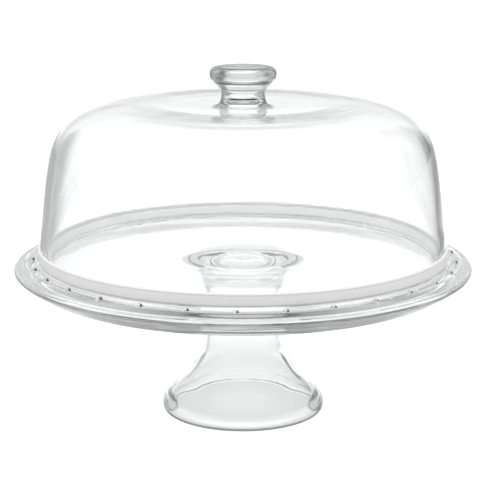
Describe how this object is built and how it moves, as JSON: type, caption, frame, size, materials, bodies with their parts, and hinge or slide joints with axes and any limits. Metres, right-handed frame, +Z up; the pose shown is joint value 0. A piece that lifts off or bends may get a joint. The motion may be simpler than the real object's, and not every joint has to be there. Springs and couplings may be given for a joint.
{
  "type": "footed cake stand with dome cover",
  "caption": "Clear glass cake stand: round plate on a hollow trumpet foot, with a lift-off glass dome cover that has a solid knob and a plastic rim ring.",
  "frame": {"origin": "on the axis of the stand at table level, which is the centre of the bottom of the foot and of the whole object's box", "axes": "+Z up along the axis of the plate, foot, dome and knob; the object is round, so +X and +Y are free and the front of the picture is -Y"},
  "size_m": [0.325, 0.325, 0.2482],
  "materials": {
    "stand_glass": "clear pressed glass with a faint cool grey tint, fire-polished, slightly wavy",
    "cover_glass": "clear pressed glass, fire-polished, slightly wavy",
    "rim_plastic": "whitish translucent moulded plastic, satin"
  },
  "bodies": {
    "stand": {"plate": "stand_glass", "pedestal_foot": "stand_glass"},
    "ring": {"rim_ring": "rim_plastic"},
    "dome": {"dome_shell": "cover_glass", "dome_knob": "cover_glass"}
  },
  "joints": [
    {"name": "cover_lift", "type": "slide", "parent": "stand", "child": "ring", "axis": [0, 0, 1], "range_m": [0, 0.15]},
    {"name": "dome_out_of_ring", "type": "slide", "parent": "ring", "child": "dome", "axis": [0, 0, 1], "range_m": [0, 0.03]}
  ]
}
